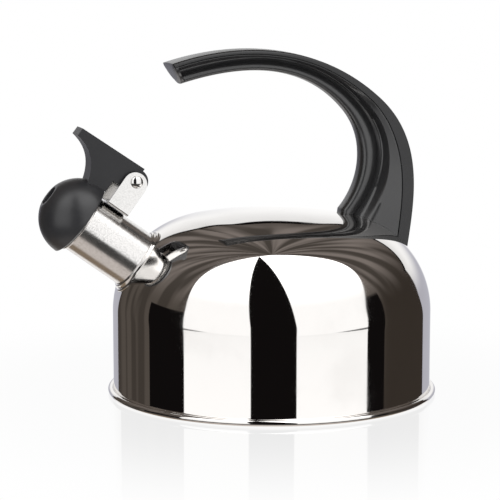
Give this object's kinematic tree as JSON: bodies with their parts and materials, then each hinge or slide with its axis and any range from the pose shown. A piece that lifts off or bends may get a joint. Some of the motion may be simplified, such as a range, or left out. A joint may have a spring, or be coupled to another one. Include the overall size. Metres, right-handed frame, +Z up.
{
  "type": "stovetop whistling kettle",
  "caption": "Domed steel stovetop kettle with a slanted spout, a sprung whistle cap with thumb lever, and a cantilever C-shaped handle.",
  "frame": {"origin": "centre of the base on the body's axis, on the surface the kettle stands on", "axes": "+Z up along the body's axis, spout towards -X, handle foot towards +X, symmetry plane XZ"},
  "size_m": [0.2297, 0.19, 0.1978],
  "materials": {
    "mirror_steel": "mirror-polished stainless steel",
    "satin_steel": "satin stainless steel, fine grain along the part",
    "bracket_steel": "bright pressed stainless steel",
    "spring_steel": "oiled spring steel",
    "spreader_aluminium": "plain aluminium",
    "matte_black": "fine matt moulded black plastic",
    "gloss_black": "smooth glossy moulded black plastic",
    "seal_silicone": "soft grey silicone"
  },
  "bodies": {
    "kettle": {"body_shell": "mirror_steel", "base_plate": "mirror_steel", "heat_spreader": "spreader_aluminium", "base_cover": "satin_steel", "spout_tube": "satin_steel", "spout_collar": "mirror_steel", "hinge_bracket": "bracket_steel", "hinge_pin": "bracket_steel", "pin_washer": "bracket_steel", "torsion_spring": "spring_steel", "handle_grip": "gloss_black", "handle_strip": "gloss_black", "handle_bracket": "satin_steel", "handle_screws": "bracket_steel", "lock_washers": "spring_steel"},
    "whistle_lid": {"whistle_cap": "matte_black", "thumb_lever": "matte_black", "cap_screw": "bracket_steel", "cap_liner": "satin_steel", "cap_seal": "seal_silicone", "whistle_rear_disc": "satin_steel", "whistle_front_disc": "satin_steel"}
  },
  "joints": [
    {"name": "whistle_lid_hinge", "type": "hinge", "parent": "kettle", "child": "whistle_lid", "pos_m": [-0.08139, 0, 0.1246], "axis": [0, 1, 0], "range_deg": [0, 65], "stiffness_Nm_per_rad": 0.03, "springref_deg": -57.3, "deforming": ["torsion_spring"]}
  ]
}
